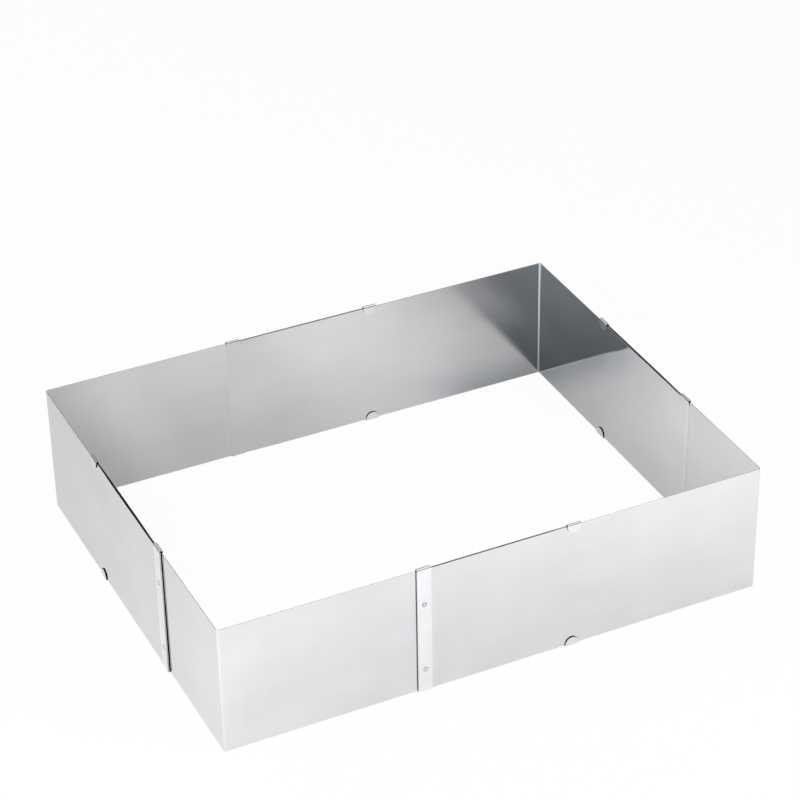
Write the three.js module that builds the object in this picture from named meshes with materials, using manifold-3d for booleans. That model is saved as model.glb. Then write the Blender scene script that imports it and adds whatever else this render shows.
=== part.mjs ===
// Adjustable baking frame of sheet steel. Two inner and two outer angles telescope into one rectangle:
// each wall is an inner arm and an outer arm that slide along each other. A guide strip, spot-welded to the
// end of each outer arm, hooks round the edges of the inner arm, and tabs at the end of each inner arm hook
// round the edges of the outer arm. Tab and strip meet when a wall is drawn out as far as it goes.
// Millimetres, +Z up. X runs along the longer walls and Y along the shorter ones. The origin is the middle
// of the frame, on the surface that the frame stands on.
import * as THREE from "three";
import { mergeVertices } from "three/addons/utils/BufferGeometryUtils.js";
import Module from "manifold-3d";

// Sheets and arms
const WALL_HEIGHT = 85; // height of the bent sheets, without the folds round their edges
const LONG_ARM = 224.5; // outside of a corner to the end of its longer arm
const SHORT_ARM = 191; // outside of a corner to the end of its shorter arm
const ANGLE_SHEET = 0.4; // thickness of the four angles
const CORNER_BEND = 1.2; // inside radius of the bend at each corner

// Setting of the frame
const LENGTH_DRAWN_OUT = 117.9; // how far the longer walls are drawn out from closed
const WIDTH_DRAWN_OUT = 78.9; // how far the shorter walls are drawn out from closed
const CLOSED_GAP = 1; // end of an inner arm to the wall across it, when the frame is closed

// Folds round the edges
const LAYER_GAP = 0.5; // between the two sheets of a wall
const FOLD_CLEARANCE = 0.3; // between a sheet and the folded end that lies on it
const TOP_CLEARANCE = 0.7; // between the top edge of a sheet and the fold over it
const BOTTOM_CLEARANCE = 0.2; // between the bottom edge of a sheet and the fold under it
const FOLD_BEND = 0.5; // inside radius of a fold, where the clearance leaves room for it
const FOLD_SHOULDER = 0.5; // straight stretch of a folded end, before its round tip
const FOLD_ROOT = 2; // depth to which the root of a fold runs into the sheet that it is part of

// Stop tabs of the inner angles
const TAB_WIDTH = 9;
const TAB_REACH = 5; // edge of the sheet to the tip of the tab

// Guide strips of the outer angles
const STRIP_SHEET = 0.4; // thickness of a strip
const STRIP_WIDTH = 9;
const STRIP_REACH = 5; // edge of the sheet to the tip of the folded end
const STRIP_SEAM = 0.05; // between a strip and the arm that it is welded to

// Spot welds, two in each strip
const WELD_RADIUS = 1.9;
const WELD_FROM_TOP = 24; // top edge of the sheet to the upper weld
const WELD_FROM_BOTTOM = 15; // bottom edge of the sheet to the lower weld
const WELD_DISH = 0.15; // depth of the dent that the electrode leaves
const WELD_RECESS = 0.05; // inner end of a weld to the sliding face of its arm
const WELD_CLEARANCE = 0.05; // between a weld and the sheets that it joins

// Fineness of the round shapes
const BEND_STEPS = 4;
const TIP_STEPS = 10;
const WELD_STEPS = 24;
const DISH_STEPS = 4;

// Sizes that follow from the ones above
const LAYER_PITCH = ANGLE_SHEET + LAYER_GAP; // outer face of an inner arm to that of its outer arm
const INSIDE_LENGTH = LONG_ARM - ANGLE_SHEET + CLOSED_GAP + LENGTH_DRAWN_OUT;
const INSIDE_WIDTH = SHORT_ARM - ANGLE_SHEET + CLOSED_GAP + WIDTH_DRAWN_OUT;
const SHEET_LIFT = BOTTOM_CLEARANCE + Math.max(ANGLE_SHEET, STRIP_SHEET); // floor to the sheets' bottom edge
const TAB_GAP = LAYER_GAP + ANGLE_SHEET + FOLD_CLEARANCE; // holds the outer arm
const STRIP_GAP = STRIP_SEAM + ANGLE_SHEET + LAYER_GAP + ANGLE_SHEET + FOLD_CLEARANCE; // holds both arms
const WELD_HEIGHTS = { upper: WALL_HEIGHT - WELD_FROM_TOP, lower: WELD_FROM_BOTTOM };

const QUARTER_TURN = Math.PI / 2;
const AXIS_X = new THREE.Vector3(1, 0, 0);
const AXIS_Y = new THREE.Vector3(0, 1, 0);
const AXIS_Z = new THREE.Vector3(0, 0, 1);

const wasm = await Module();
wasm.setup();

const angleSteel = new THREE.MeshStandardMaterial({ color: 0xc6c8ca, roughness: 0.3, metalness: 1 });
const stripSteel = new THREE.MeshStandardMaterial({ color: 0xdcdddf, roughness: 0.4, metalness: 1 });
const weldSteel = new THREE.MeshStandardMaterial({ color: 0xa8a6a3, roughness: 0.5, metalness: 1 });

// A closed geometry as a solid that can be joined and cut.
function solidOf(geometry) {
  const bare = geometry.clone();
  bare.deleteAttribute("normal");
  bare.deleteAttribute("uv");
  const merged = mergeVertices(bare);
  const vertProperties = merged.attributes.position.array;
  const triVerts = new Uint32Array(merged.index.array);
  return new wasm.Manifold(new wasm.Mesh({ numProp: 3, vertProperties, triVerts }));
}

// A solid as a geometry that a mesh can show.
function geometryOf(solid) {
  const { vertProperties, triVerts } = solid.getMesh();
  const geometry = new THREE.BufferGeometry();
  geometry.setAttribute("position", new THREE.BufferAttribute(vertProperties, 3));
  geometry.setIndex(new THREE.BufferAttribute(triVerts, 1));
  geometry.computeVertexNormals();
  return geometry;
}

function extruded(shape, depth, curveSegments) {
  return new THREE.ExtrudeGeometry(shape, { depth, curveSegments, bevelEnabled: false });
}

// Turns a geometry about Z, after turning it upside down where asked, and then moves it.
function placed(geometry, { x = 0, y = 0, z = 0, turn = 0, upsideDown = false }) {
  const moved = geometry.clone();
  if (upsideDown) moved.rotateY(Math.PI);
  return moved.rotateZ(turn).translate(x, y, z);
}

// Plan of a bent sheet: its arms run along +X and +Y from the outside of the corner, at the origin.
function anglePlan(armX, armY) {
  const outerBend = CORNER_BEND + ANGLE_SHEET;
  const plan = new THREE.Shape();
  plan.moveTo(armX, ANGLE_SHEET);
  plan.lineTo(armX, 0);
  plan.absarc(outerBend, outerBend, outerBend, -QUARTER_TURN, -2 * QUARTER_TURN, true);
  plan.lineTo(0, armY);
  plan.lineTo(ANGLE_SHEET, armY);
  plan.absarc(outerBend, outerBend, CORNER_BEND, 2 * QUARTER_TURN, 3 * QUARTER_TURN, false);
  return plan;
}

// A fold that starts from a leg on the -Y side of a gap, passes over the gap and comes down on its +Y side
// as a flange with a round tip. The leg's inner face is at y = 0, and the edge that is wrapped at z = 0.
function foldParts({ sheet, gap, width, reach, root, clearance }) {
  const bend = Math.min(FOLD_BEND, clearance, gap / 2);
  const bendLevel = clearance - bend;
  const shoulderLevel = bendLevel - FOLD_SHOULDER;

  const section = new THREE.Shape();
  section.moveTo(0, -root);
  section.lineTo(-sheet, -root);
  section.absarc(bend, bendLevel, bend + sheet, 2 * QUARTER_TURN, QUARTER_TURN, true);
  section.absarc(gap - bend, bendLevel, bend + sheet, QUARTER_TURN, 0, true);
  section.lineTo(gap + sheet, bendLevel - FOLD_SHOULDER / 2);
  section.lineTo(gap, bendLevel - FOLD_SHOULDER / 2);
  section.absarc(gap - bend, bendLevel, bend, 0, QUARTER_TURN, false);
  section.absarc(bend, bendLevel, bend, QUARTER_TURN, 2 * QUARTER_TURN, false);
  const sectionAlongX = new THREE.Matrix4().makeBasis(AXIS_Y, AXIS_Z, AXIS_X);
  const hook = extruded(section, width, BEND_STEPS).applyMatrix4(sectionAlongX).translate(-width / 2, 0, 0);

  const outline = new THREE.Shape();
  outline.moveTo(width / 2, bendLevel);
  outline.lineTo(-width / 2, bendLevel);
  outline.absellipse(0, shoulderLevel, width / 2, reach + shoulderLevel, Math.PI, 2 * Math.PI, false);
  const outlineAcrossY = new THREE.Matrix4().makeBasis(AXIS_X, AXIS_Z, AXIS_Y.clone().negate());
  const flange = extruded(outline, sheet, TIP_STEPS).applyMatrix4(outlineAcrossY).translate(0, gap + sheet, 0);
  return [hook, flange];
}

// Places and turns of what sits at the two arm ends of an angle, with +Y of each piece turned into the frame.
function armEnds(armX, armY, width, outset) {
  return [
    { x: armX - width / 2, y: -outset, turn: 0 },
    { x: -outset, y: armY - width / 2, turn: -QUARTER_TURN },
  ];
}

function angleBlank(armX, armY) {
  return solidOf(extruded(anglePlan(armX, armY), WALL_HEIGHT, BEND_STEPS));
}

// Inner angle: a bent sheet with four stop tabs, which hook outwards round the outer arms.
function innerAngleGeometry() {
  const tab = { sheet: ANGLE_SHEET, gap: TAB_GAP, width: TAB_WIDTH, reach: TAB_REACH, root: FOLD_ROOT };
  const top = foldParts({ ...tab, clearance: TOP_CLEARANCE });
  const bottom = foldParts({ ...tab, clearance: BOTTOM_CLEARANCE });
  let solid = angleBlank(LONG_ARM, SHORT_ARM);
  for (const end of armEnds(LONG_ARM, SHORT_ARM, TAB_WIDTH, 0)) {
    const outwards = { ...end, turn: end.turn + Math.PI };
    for (const part of top) solid = solid.add(solidOf(placed(part, { ...outwards, z: WALL_HEIGHT })));
    for (const part of bottom) solid = solid.add(solidOf(placed(part, { ...outwards, upsideDown: true })));
  }
  return geometryOf(solid);
}

// Hole through the sheets for a spot weld, along Y.
function weldHole(depth) {
  const radius = WELD_RADIUS + WELD_CLEARANCE;
  return new THREE.CylinderGeometry(radius, radius, depth, WELD_STEPS);
}

// Outer angle: a bent sheet, pierced where the strips are welded on.
function outerAngleGeometry() {
  let solid = angleBlank(SHORT_ARM, LONG_ARM);
  const hole = weldHole(4 * ANGLE_SHEET);
  for (const end of armEnds(SHORT_ARM, LONG_ARM, STRIP_WIDTH, 0)) {
    for (const z of Object.values(WELD_HEIGHTS)) {
      solid = solid.subtract(solidOf(placed(hole, { ...end, z })));
    }
  }
  return geometryOf(solid);
}

// Guide strip: a plate with a fold at each end that hooks inwards round the inner arm.
function stripGeometry() {
  const half = { sheet: STRIP_SHEET, gap: STRIP_GAP, width: STRIP_WIDTH, reach: STRIP_REACH };
  half.root = WALL_HEIGHT / 2 + FOLD_ROOT; // each half runs past the middle, so that the two join
  const top = foldParts({ ...half, clearance: TOP_CLEARANCE }).map((part) => placed(part, { z: WALL_HEIGHT }));
  const bottom = foldParts({ ...half, clearance: BOTTOM_CLEARANCE }).map((part) => placed(part, { upsideDown: true }));
  let solid = [...top, ...bottom].map(solidOf).reduce((joined, part) => joined.add(part));
  const hole = weldHole(4 * STRIP_SHEET);
  for (const z of Object.values(WELD_HEIGHTS)) {
    solid = solid.subtract(solidOf(placed(hole, { z })));
  }
  return geometryOf(solid);
}

// Spot weld: a slug of fused steel through strip and arm, with the electrode's round dent on its outer end.
function weldGeometry() {
  const innerEnd = STRIP_SEAM + ANGLE_SHEET - WELD_RECESS;
  const outerEnd = -STRIP_SHEET;
  const profile = [new THREE.Vector2(0, outerEnd + WELD_DISH)];
  for (let step = 1; step <= DISH_STEPS; step += 1) {
    const share = step / DISH_STEPS;
    profile.push(new THREE.Vector2(WELD_RADIUS * share, outerEnd + WELD_DISH * (1 - share * share)));
  }
  profile.push(new THREE.Vector2(WELD_RADIUS, innerEnd), new THREE.Vector2(0, innerEnd));
  return geometryOf(solidOf(new THREE.LatheGeometry(profile, WELD_STEPS)));
}

function named(geometry, material, name) {
  const mesh = new THREE.Mesh(geometry, material);
  mesh.name = name;
  return mesh;
}

// A strip and its two welds, in the place of an arm's end.
function weldedStrip(wall, { x, y, turn }) {
  const group = new THREE.Group();
  group.position.set(x, y, 0);
  group.rotation.z = turn;
  group.add(named(stripGeometry(), stripSteel, `guide_strip_${wall}`));
  for (const [level, z] of Object.entries(WELD_HEIGHTS)) {
    const weld = named(weldGeometry(), weldSteel, `spot_weld_${wall}_${level}`);
    weld.position.z = z;
    group.add(weld);
  }
  return group;
}

// A corner's group, with the outside of its bend at x, y and its arms turned into place.
function corner(x, y, turn) {
  const group = new THREE.Group();
  group.position.set(x, y, SHEET_LIFT);
  group.rotation.z = turn;
  return group;
}

function innerCorner(name, x, y, turn) {
  const group = corner(x, y, turn);
  group.add(named(innerAngleGeometry(), angleSteel, name));
  return group;
}

function outerCorner(name, x, y, turn, walls) {
  const group = corner(x, y, turn);
  group.add(named(outerAngleGeometry(), angleSteel, name));
  armEnds(SHORT_ARM, LONG_ARM, STRIP_WIDTH, STRIP_SEAM).forEach((end, arm) => {
    group.add(weldedStrip(walls[arm], end));
  });
  return group;
}

const innerX = INSIDE_LENGTH / 2 + ANGLE_SHEET;
const innerY = INSIDE_WIDTH / 2 + ANGLE_SHEET;
const outerX = innerX + LAYER_PITCH;
const outerY = innerY + LAYER_PITCH;

const frame = new THREE.Group();
frame.add(
  innerCorner("inner_angle_front_left", -innerX, -innerY, 0),
  outerCorner("outer_angle_front_right", outerX, -outerY, QUARTER_TURN, ["right", "front"]),
  innerCorner("inner_angle_rear_right", innerX, innerY, 2 * QUARTER_TURN),
  outerCorner("outer_angle_rear_left", -outerX, outerY, -QUARTER_TURN, ["left", "rear"]),
);

export default frame;
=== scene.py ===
"""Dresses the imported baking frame: bent steel angles, guide strips and spot welds, with its studio."""

import logging
import math
from dataclasses import dataclass, field
from enum import Enum
from typing import Any, ClassVar

import bpy
import numpy as np
from mathutils import Matrix, Vector


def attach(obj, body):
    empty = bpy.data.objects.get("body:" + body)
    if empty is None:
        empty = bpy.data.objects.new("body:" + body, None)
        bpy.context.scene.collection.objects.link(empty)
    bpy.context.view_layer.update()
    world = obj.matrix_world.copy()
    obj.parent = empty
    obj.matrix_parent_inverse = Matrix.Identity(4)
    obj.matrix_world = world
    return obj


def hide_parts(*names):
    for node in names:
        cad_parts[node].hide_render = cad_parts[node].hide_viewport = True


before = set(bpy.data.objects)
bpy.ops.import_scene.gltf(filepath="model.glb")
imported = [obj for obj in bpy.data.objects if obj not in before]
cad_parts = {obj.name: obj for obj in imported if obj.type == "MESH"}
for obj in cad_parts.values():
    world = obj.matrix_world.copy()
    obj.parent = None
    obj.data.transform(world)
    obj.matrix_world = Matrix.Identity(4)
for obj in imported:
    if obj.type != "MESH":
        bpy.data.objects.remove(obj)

Array = np.ndarray
Pair = tuple[float, float]
Colour = tuple[float, float, float, float]

LOG = logging.getLogger("baking_frame")
MM = 0.001
QUARTER_TURN = math.pi / 2
INWARDS: Pair = (1.0, 0.0)
OUTWARDS: Pair = (-1.0, 0.0)
STEEL_RED = 1.004
STEEL_BLUE = 1.027
PATTERN = "sheet"
BARE_EDGE_AND_SHADE = "bare_edge_and_shade"
WORKED_HIGHLIGHT = "worked_highlight"


class Wall(Enum):
    """The four walls, named as seen from above with the front at -Y."""

    FRONT = "front"
    RIGHT = "right"
    REAR = "rear"
    LEFT = "left"

    @property
    def is_long(self) -> bool:
        """True for the two longer walls."""
        return self in (Wall.FRONT, Wall.REAR)


class Layer(Enum):
    """Which of a wall's two sliding layers an angle's arms form."""

    INNER = "inner"
    OUTER = "outer"


@dataclass(frozen=True)
class FrameSizes:
    """Sizes of the frame in millimetres, as the CAD model has them."""

    wall_height: float = 85.0
    long_arm: float = 224.5
    short_arm: float = 191.0
    inside_length: float = 343.0
    inside_width: float = 270.5
    sheet: float = 0.4
    corner_bend: float = 1.2
    layer_gap: float = 0.5
    fold_clearance: float = 0.3
    top_clearance: float = 0.7
    bottom_clearance: float = 0.2
    fold_bend: float = 0.5
    fold_shoulder: float = 0.5
    tab_width: float = 9.0
    tab_reach: float = 5.0
    strip_sheet: float = 0.4
    strip_width: float = 9.0
    strip_reach: float = 5.0
    strip_seam: float = 0.05
    weld_radius: float = 1.9
    weld_from_top: float = 24.0
    weld_from_bottom: float = 15.0

    @property
    def lift(self) -> float:
        """Height of the sheets' bottom edge over the floor."""
        return self.bottom_clearance + max(self.sheet, self.strip_sheet)

    @property
    def tab_gap(self) -> float:
        """Room in a tab's fold, which holds the outer arm."""
        return self.layer_gap + self.sheet + self.fold_clearance

    @property
    def strip_gap(self) -> float:
        """Room in a strip's fold, which holds both arms."""
        return self.strip_seam + self.sheet + self.layer_gap + self.sheet + self.fold_clearance

    @property
    def weld_heights(self) -> dict[str, float]:
        """Heights of a strip's two welds over the sheets' bottom edge."""
        return {"upper": self.wall_height - self.weld_from_top, "lower": self.weld_from_bottom}


@dataclass(frozen=True)
class SheetPlay:
    """How thin sheet gives, in millimetres: it springs outwards at its ends and bows beside them.

    The thinning is the share of its thickness that an inner arm loses at its edge, and the lower tab follows
    its arm's lean by a share.
    """

    lean: float = 0.48
    thinning: float = 0.95
    lower_tab_share: float = 0.95
    long_bow: float = 0.08
    short_bow: float = 0.24


@dataclass(frozen=True)
class Place:
    """A turn about Z followed by a move, in millimetres."""

    x: float = 0.0
    y: float = 0.0
    z: float = 0.0
    turn: float = 0.0

    def apply(self, points: Array) -> Array:
        """Turns and moves points.

        Args:
            points: Array whose last axis holds x, y and z.

        Returns:
            The points in their place.
        """
        cos, sin = math.cos(self.turn), math.sin(self.turn)
        x, y, z = points[..., 0], points[..., 1], points[..., 2]
        return np.stack([cos * x - sin * y + self.x, sin * x + cos * y + self.y, z + self.z], axis=-1)


def smoothstep(low: float, high: float, value: Array) -> Array:
    """Eases from 0 at low to 1 at high with the cubic 3t^2 - 2t^3.

    Args:
        low: Value at which the result is 0.
        high: Value at which the result is 1.
        value: Values to ease.

    Returns:
        The eased values.
    """
    share = np.clip((value - low) / (high - low), 0.0, 1.0)
    return share * share * (3.0 - 2.0 * share)


def arc(centre: Pair, radius: float, start: float, end: float, steps: int) -> tuple[Array, Array]:
    """Points on a circular arc, centre + radius (cos a, sin a), and the directions away from its centre.

    Args:
        centre: Centre of the arc.
        radius: Radius of the arc.
        start: First angle in radians.
        end: Last angle in radians.
        steps: Number of steps between the two.

    Returns:
        The points and their outward directions, each steps + 1 by 2.
    """
    angle = np.linspace(start, end, steps + 1)
    away = np.stack([np.cos(angle), np.sin(angle)], axis=-1)
    return np.asarray(centre) + radius * away, away


def straight(start: Pair, end: Pair, shares: Array, away: Pair) -> tuple[Array, Array]:
    """Points on a straight run, start + share (end - start), with one outward direction all along.

    Args:
        start: First end of the run.
        end: Second end of the run.
        shares: Shares of the run, from 0 to 1, at which the points lie.
        away: Outward direction.

    Returns:
        The points and their outward directions.
    """
    points = np.asarray(start) + shares[:, None] * (np.asarray(end) - np.asarray(start))
    return points, np.tile(np.asarray(away, float), (len(shares), 1))


@dataclass
class Shell:
    """A closed mesh as arrays: points in millimetres, quads, pattern coordinates and marks of the points."""

    points: Array
    quads: Array
    uv: Array
    marks: Array

    @staticmethod
    def lofted(rings: Array, uv: Array, bare_and_shade: Array, worked_highlight: Array) -> "Shell":
        """Joins rings of points into a closed shell; quads across the thin sheet close each end ring.

        A ring runs along one face of the sheet and back along the other, so point j lies opposite its
        partner, the ring's length - 1 - j.

        Args:
            rings: Points, rings by points in a ring by 3.
            uv: Pattern coordinates of each point, in metres.
            bare_and_shade: How far the steel is darkened and dulled, from 0 to 1 on a cut edge: partly the
                cut edge's own dull finish, partly painted shade.
            worked_highlight: How far the sheet is lightened where it is bent or folded, from 0 to 1: partly
                worked metal, partly a painted highlight.

        Returns:
            The shell, with its faces outwards.
        """
        count, around = rings.shape[:2]
        ring = np.arange(count - 1)[:, None] * around
        step = np.arange(around)[None, :]
        after = (step + 1) % around
        next_ring = ring + around
        sides = np.stack([ring + step, ring + after, next_ring + after, next_ring + step], axis=-1)
        half = np.arange(around // 2 - 1)
        end = np.stack([half, half + 1, around - 2 - half, around - 1 - half], axis=-1)
        quads = np.concatenate([sides.reshape(-1, 4), end[:, ::-1], end + (count - 1) * around])
        points = rings.reshape(-1, 3)
        corner = points[quads]
        normal = np.cross(corner[:, 2] - corner[:, 0], corner[:, 3] - corner[:, 1])
        if np.einsum("ij,ij->", corner.mean(axis=1), normal) < 0:
            quads = quads[:, ::-1]
        marks = np.stack(np.broadcast_arrays(bare_and_shade, worked_highlight), axis=-1)
        return Shell(points, quads, uv.reshape(-1, 2), marks.reshape(-1, 2))

    @staticmethod
    def joined(shells: list["Shell"]) -> "Shell":
        """Puts several shells into one.

        Args:
            shells: The shells to join.

        Returns:
            One shell with all their points and faces.
        """
        starts = np.cumsum([0] + [len(shell.points) for shell in shells[:-1]])
        return Shell(
            np.concatenate([shell.points for shell in shells]),
            np.concatenate([shell.quads + start for shell, start in zip(shells, starts)]),
            np.concatenate([shell.uv for shell in shells]),
            np.concatenate([shell.marks for shell in shells]),
        )

    def placed(self, place: Place) -> "Shell":
        """The shell turned and moved into a place."""
        return Shell(place.apply(self.points), self.quads, self.uv, self.marks)

    def upside_down(self) -> "Shell":
        """The shell turned half a turn about Y, so that a tab for the top edge fits the bottom edge."""
        return Shell(self.points * np.array([-1.0, 1.0, -1.0]), self.quads, self.uv, self.marks)

    def piece(self, name: str, crease: float = 24.0) -> bpy.types.Object:
        """Makes a Blender object of the shell.

        Args:
            name: Name of the object.
            crease: Angle in degrees past which an edge is shown sharp.

        Returns:
            The object, linked to the scene at the origin.
        """
        mesh = bpy.data.meshes.new(name)
        mesh.from_pydata((self.points * MM).tolist(), [], self.quads.tolist())
        corners = np.empty(len(mesh.loops), dtype=np.int32)
        mesh.loops.foreach_get("vertex_index", corners)
        layer = mesh.uv_layers.new(name=PATTERN)
        layer.uv.foreach_set("vector", self.uv[corners].astype(np.float32).ravel())
        for mark_name, values in zip((BARE_EDGE_AND_SHADE, WORKED_HIGHLIGHT), self.marks.T):
            mark = mesh.attributes.new(mark_name, "FLOAT", "POINT")
            mark.data.foreach_set("value", np.ascontiguousarray(values, dtype=np.float32))
        mesh.shade_smooth()
        mesh.set_sharp_from_angle(angle=math.radians(crease))
        piece = bpy.data.objects.new(name, mesh)
        bpy.context.scene.collection.objects.link(piece)
        return piece


@dataclass(frozen=True)
class Section:
    """A rounded flat bar, walked along one broad face and back along the other.

    The broad faces lie at +thick/2 and -thick/2. A corner is a quarter circle of the rounding's radius,
    limited by the bar's width and thickness. A guard row close to each corner keeps the faces flat in
    shading.
    """

    rounding: float
    across: int
    steps: int = 3
    largest_share: float = 0.49
    guard: float = 0.2
    guard_share: float = 0.2

    def rings(self, width: Array, thick: Array) -> tuple[Array, Array, Array]:
        """Works out one bar for each ring.

        Args:
            width: Full width of each ring's bar.
            thick: Full thickness of each ring's bar.

        Returns:
            Place across the width, place through the thickness, and the mark of cut edges, each rings by
            points.
        """
        radius = np.minimum(self.rounding, self.largest_share * np.minimum(width, thick))[:, None]
        angle = np.linspace(0.0, QUARTER_TURN, self.steps + 1)[None, :]
        half, deep = width[:, None] / 2, thick[:, None] / 2
        flat = half - radius
        guarded = flat - np.minimum(self.guard, self.guard_share * flat)
        face = np.linspace(-1.0, 1.0, self.across + 1)[None, :] * guarded
        start = -half + radius - radius * np.cos(angle)
        start_deep = deep - radius + radius * np.sin(angle)
        over = np.concatenate([start, face, -start[:, ::-1]], axis=1)
        face_deep = np.broadcast_to(deep, face.shape)
        over_deep = np.concatenate([start_deep, face_deep, start_deep[:, ::-1]], axis=1)
        edge = np.ones(self.steps)
        # The cut edges carry the mark that darkens them in the steels: partly their dull finish, partly
        # painted shade for the dark gaps beside them.
        bare_and_shade = np.concatenate([edge, np.zeros(over.shape[1] - 2 * self.steps), edge])
        bare_and_shade = np.broadcast_to(np.concatenate([bare_and_shade, bare_and_shade[::-1]]), (len(width), 2 * len(bare_and_shade)))
        across = np.concatenate([over, over[:, ::-1]], axis=1)
        return across, np.concatenate([over_deep, -over_deep[:, ::-1]], axis=1), bare_and_shade


@dataclass
class Ribbon:
    """A narrow strip of sheet carried along a bent path, with half-round tips where the path says so.

    The path lies in a plane across the wall: its first coordinate points into the frame and its second up.
    """

    thick: float
    bar: Section = Section(rounding=0.17, across=30)
    tip_steps: int = 15
    tip_shares: Pair = (0.02, 0.985)
    root_thinning: float = 0.05
    root_fade: float = 3.0
    dent_depth: float = 0.16
    dent_rim: Pair = (0.75, 1.35)
    plate_facing: float = -0.99
    fold_work_highlight: float = 0.45
    far_face: float = 40.0
    path: list[Array] = field(default_factory=list)
    away: list[Array] = field(default_factory=list)
    width: list[Array] = field(default_factory=list)

    def run(self, stretch: tuple[Array, Array], width: float | Array) -> None:
        """Adds a stretch of path.

        Args:
            stretch: Points and outward directions, as arc and straight give them.
            width: Width of the ribbon along the stretch.
        """
        points, away = stretch
        self.path.append(points)
        self.away.append(away)
        self.width.append(np.broadcast_to(np.asarray(width, float), (len(points),)))

    def tip(self, root: Pair, up: int, width: float, reach: float, first: bool) -> None:
        """Adds a half-round tip: the width is w cos a where the path has gone reach sin a, as on an ellipse.

        Args:
            root: Point where the tip starts.
            up: -1 where the tip points down, 1 where it points up.
            width: Width at the root.
            reach: Length of the tip.
            first: True where the path starts at the tip, so that it is walked from the tip to the root.
        """
        angle = np.linspace(*self.tip_shares, self.tip_steps) * QUARTER_TURN
        angle = angle[::-1] if first else angle
        end = (root[0], root[1] + up * reach)
        self.run(straight(root, end, np.sin(angle), INWARDS), width * np.cos(angle))

    def shell(self, dents: tuple[Pair, ...] = (), root: int = 0) -> Shell:
        """Works out the ribbon's surface: at each point of the path a rounded flat bar, square to the path.

        A dent lowers the plate's outer face by its depth inside the weld, and eases out round the weld's rim.

        Args:
            dents: Weld dents on the path's long straight run, each with its height and radius.
            root: Number of rings in which the ribbon leaves the sheet that it is part of. The first of them
                are a little thinner, and all of them are as plain as the sheet.

        Returns:
            The shell, with x along the wall, y into the frame and z up.
        """
        path, away = np.concatenate(self.path), np.concatenate(self.away)
        thick = np.full(len(path), self.thick)
        ring = np.arange(len(path))
        if root:
            thick = thick - self.root_thinning * (1.0 - smoothstep(0.0, self.root_fade, ring))
        along, deep, bare_and_shade = self.bar.rings(np.concatenate(self.width), thick)
        height = np.broadcast_to(path[:, 1, None], along.shape)
        on_plate = (away[:, 0, None] < self.plate_facing) & (deep > 0)
        for centre, radius in dents:
            near, far = (share * radius for share in self.dent_rim)
            dent = self.dent_depth * (1.0 - smoothstep(near, far, np.hypot(along, height - centre)))
            deep = deep - np.where(on_plate, dent, 0.0)
        into = path[:, 0, None] + away[:, 0, None] * deep
        up = path[:, 1, None] + away[:, 1, None] * deep
        step = np.linalg.norm(np.diff(path, axis=0, prepend=path[:1]), axis=1)
        length = np.broadcast_to(np.cumsum(step)[:, None], along.shape)
        uv = np.stack([along + self.far_face * (deep < 0), length], axis=-1) * MM
        # The fold is lightened in the sheet's steel, partly as worked metal and partly as a painted
        # highlight.
        fold = smoothstep(root - self.root_fade, root + self.root_fade, ring)[:, None]
        worked_highlight = np.broadcast_to(self.fold_work_highlight * fold, bare_and_shade.shape)
        return Shell.lofted(np.stack([along, into, up], axis=-1), uv, bare_and_shade, worked_highlight)


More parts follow.
